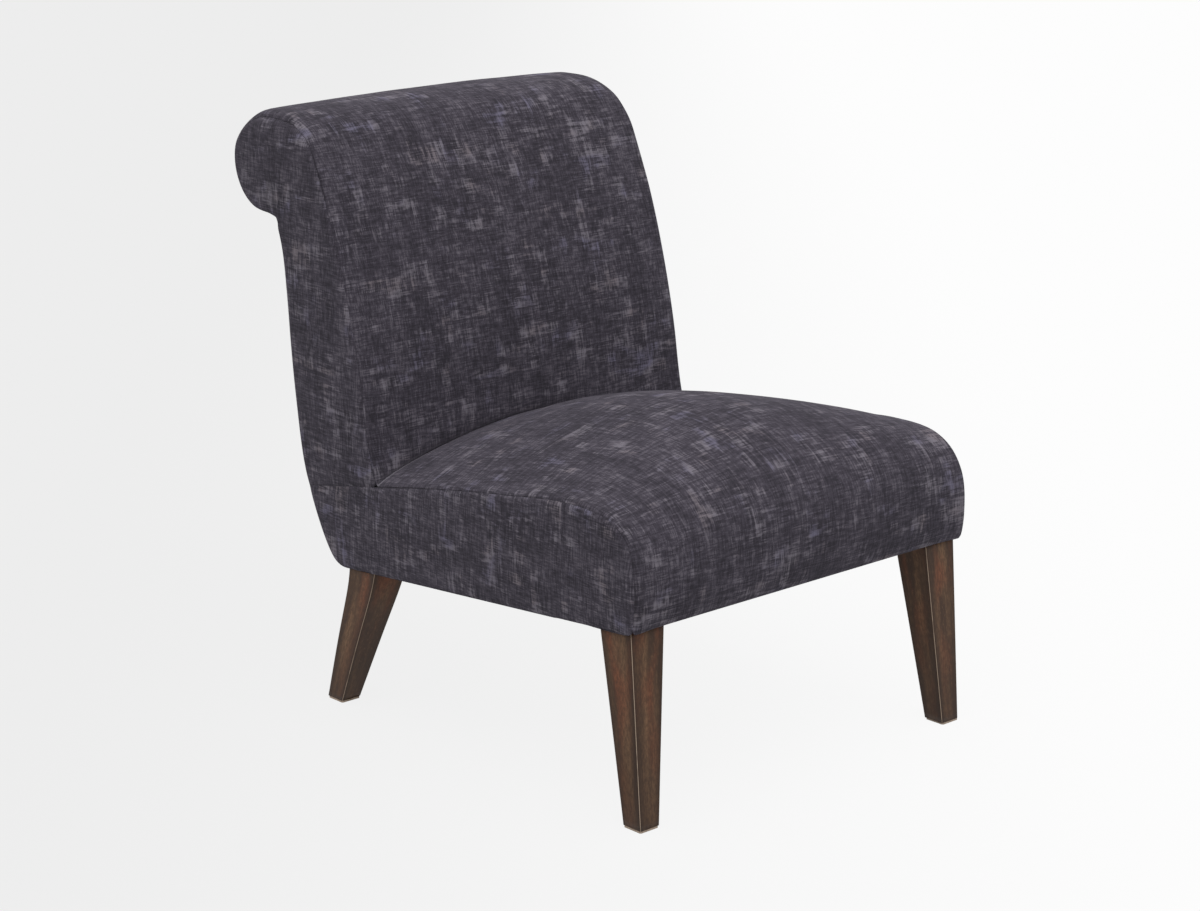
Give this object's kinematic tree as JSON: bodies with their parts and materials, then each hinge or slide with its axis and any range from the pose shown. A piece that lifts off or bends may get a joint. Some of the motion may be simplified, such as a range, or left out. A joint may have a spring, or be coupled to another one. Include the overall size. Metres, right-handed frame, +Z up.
{
  "type": "slipper chair",
  "caption": "Armless slipper chair with a crowned waterfall seat, a raked scroll back and splayed square tapered walnut legs, covered in dark slub fabric.",
  "frame": {"origin": "on the floor under the middle of the chair's bounding box", "axes": "+X to the right seen from the front, +Y toward the back of the chair (the seat faces -Y), +Z up"},
  "size_m": [0.5842, 0.8218, 0.7913],
  "materials": {
    "slub_fabric": "matt slub weave",
    "walnut": "satin dark walnut",
    "plywood": "raw",
    "beech": "raw",
    "padding_foam": "open cell, matt",
    "black_cloth": "non-woven, matt",
    "spring_steel": "dark, drawn",
    "zinc_steel": "zinc plated",
    "tube_board": "raw wound board",
    "elastic_strap": "woven",
    "pale_glide": "matt"
  },
  "bodies": {
    "root": {"seat_cover": "slub_fabric", "inside_back_cover": "slub_fabric", "outside_back_cover": "slub_fabric", "seat_side_cover_left": "slub_fabric", "seat_side_cover_right": "slub_fabric", "back_side_cover_left": "slub_fabric", "back_side_cover_right": "slub_fabric", "dust_cover": "black_cloth", "seat_foam": "padding_foam", "back_foam": "padding_foam", "roll_foam": "padding_foam", "deck_cloth": "black_cloth", "front_rail": "plywood", "rear_rail": "plywood", "side_rail_left": "plywood", "back_post_left": "plywood", "side_rail_right": "plywood", "back_post_right": "plywood", "corner_block_front_left": "beech", "corner_block_front_right": "beech", "corner_block_rear_left": "beech", "corner_block_rear_right": "beech", "tacking_rail": "plywood", "top_back_rail": "plywood", "roll_core": "tube_board", "leg_front_left": "walnut", "glide_front_left": "pale_glide", "hanger_bolt_front_left": "zinc_steel", "tee_nut_front_left": "zinc_steel", "leg_front_right": "walnut", "glide_front_right": "pale_glide", "hanger_bolt_front_right": "zinc_steel", "tee_nut_front_right": "zinc_steel", "leg_rear_left": "walnut", "glide_rear_left": "pale_glide", "hanger_bolt_rear_left": "zinc_steel", "tee_nut_rear_left": "zinc_steel", "leg_rear_right": "walnut", "glide_rear_right": "pale_glide", "hanger_bolt_rear_right": "zinc_steel", "tee_nut_rear_right": "zinc_steel", "seat_spring_1": "spring_steel", "spring_clip_front_1": "zinc_steel", "spring_clip_rear_1": "zinc_steel", "seat_spring_2": "spring_steel", "spring_clip_front_2": "zinc_steel", "spring_clip_rear_2": "zinc_steel", "seat_spring_3": "spring_steel", "spring_clip_front_3": "zinc_steel", "spring_clip_rear_3": "zinc_steel", "seat_spring_4": "spring_steel", "spring_clip_front_4": "zinc_steel", "spring_clip_rear_4": "zinc_steel", "tie_wire": "spring_steel", "back_webbing_1": "elastic_strap", "back_webbing_2": "elastic_strap", "back_webbing_3": "elastic_strap"}
  },
  "joints": []
}
